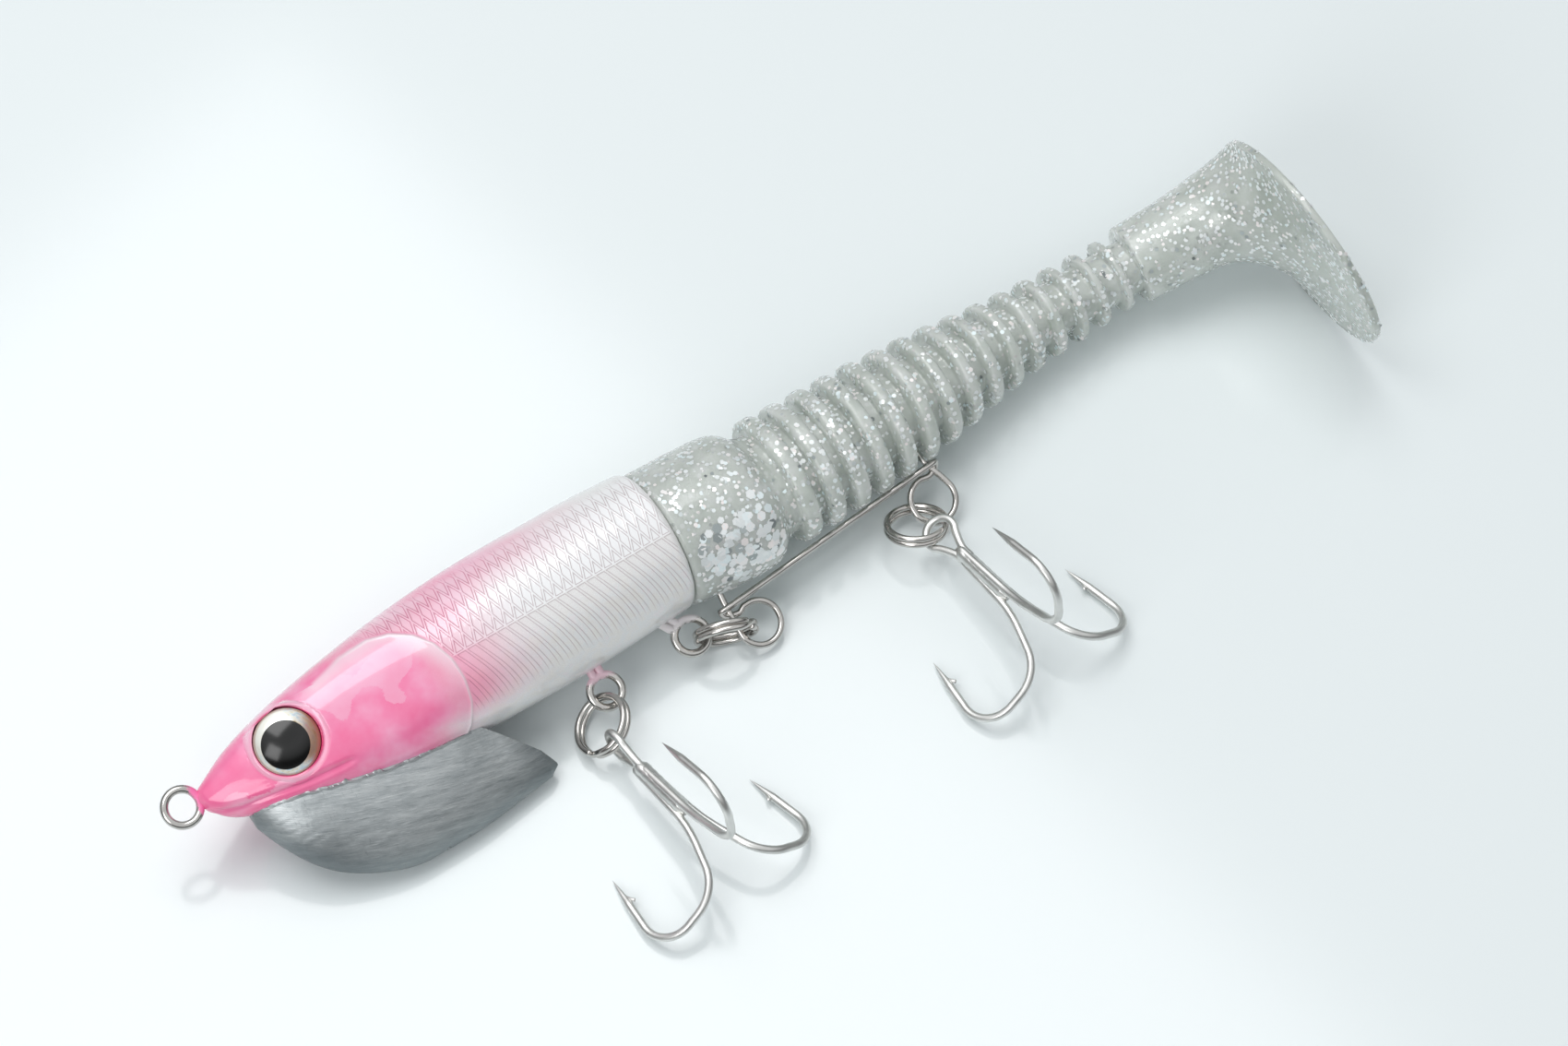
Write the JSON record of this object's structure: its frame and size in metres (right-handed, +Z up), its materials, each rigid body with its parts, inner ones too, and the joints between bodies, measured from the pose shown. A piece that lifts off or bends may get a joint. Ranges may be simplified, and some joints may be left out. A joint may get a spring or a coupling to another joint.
{
  "type": "swimbait",
  "caption": "Fishing lure lying on its side: hard fish body with a cast keel, soft ribbed paddle tail, wire rig, split rings and treble hooks.",
  "frame": {"origin": "centre of the bottom of the bounding box, on the surface that the lure lies on", "axes": "+X from nose to tail, +Y towards the back of the fish, +Z up from the surface"},
  "size_m": [0.1956, 0.0644, 0.0336],
  "materials": {
    "shell": "clear-coated hot pink back fading to pearl white belly, embossed scales",
    "eye_foil": "holographic foil with a black pupil",
    "eye_dome": "clear domed resin",
    "lead": "bare brushed cast lead",
    "soft_tail": "translucent soft plastic with silver flakes",
    "spigot": "moulded plastic",
    "wire": "polished stainless wire",
    "ring_steel": "polished stainless spring wire",
    "hook_steel": "satin tin plate"
  },
  "bodies": {
    "lure_body": {"body_shell_left": "shell", "body_shell_right": "shell", "eye_foil_left": "eye_foil", "eye_foil_right": "eye_foil", "eye_dome_left": "eye_dome", "eye_dome_right": "eye_dome", "nose_eye": "wire", "belly_eye": "wire", "rear_eye": "wire", "keel_weight": "lead", "tail_spigot": "spigot", "soft_tail_front": "soft_tail", "rig_wire": "wire"},
    "tail": {"soft_tail_rear": "soft_tail"},
    "front_ring": {"front_split_ring": "ring_steel"},
    "front_hook": {"front_treble_double": "hook_steel", "front_treble_single": "hook_steel"},
    "link_ring": {"link_split_ring": "ring_steel"},
    "rear_ring": {"rear_split_ring": "ring_steel"},
    "rear_hook": {"rear_treble_double": "hook_steel", "rear_treble_single": "hook_steel"}
  },
  "joints": [
    {"name": "tail_wag", "type": "hinge", "parent": "lure_body", "child": "tail", "pos_m": [0.05417, 0.02137, 0.00893], "axis": [-0.0217, 0.981, 0.1928], "range_deg": [-22, 22], "stiffness_Nm_per_rad": 0.06},
    {"name": "front_ring_swing", "type": "hinge", "parent": "lure_body", "child": "front_ring", "pos_m": [-0.03392, 0.00479, 0.00409], "axis": [0.7731, -0.5636, -0.2911], "range_deg": [-12, 15]},
    {"name": "front_hook_swing", "type": "hinge", "parent": "front_ring", "child": "front_hook", "pos_m": [-0.03601, -0.00163, 0.00532], "axis": [0.8259, 0.1118, 0.5526], "range_deg": [-70, 60]},
    {"name": "link_ring_swing", "type": "hinge", "parent": "lure_body", "child": "link_ring", "pos_m": [-0.01461, 0.00616, 0.00435], "axis": [0.424, 0.8174, 0.3899], "range_deg": [-5, 12]},
    {"name": "rear_ring_swing", "type": "hinge", "parent": "lure_body", "child": "rear_ring", "pos_m": [0.02303, 0.00546, 0.00322], "axis": [0.3736, -0.8306, -0.413], "range_deg": [-5, 8]},
    {"name": "rear_hook_swing", "type": "hinge", "parent": "rear_ring", "child": "rear_hook", "pos_m": [0.02313, 0.00013, 0.00601], "axis": [0.8994, 0.2939, -0.3236], "range_deg": [-70, 25]}
  ]
}
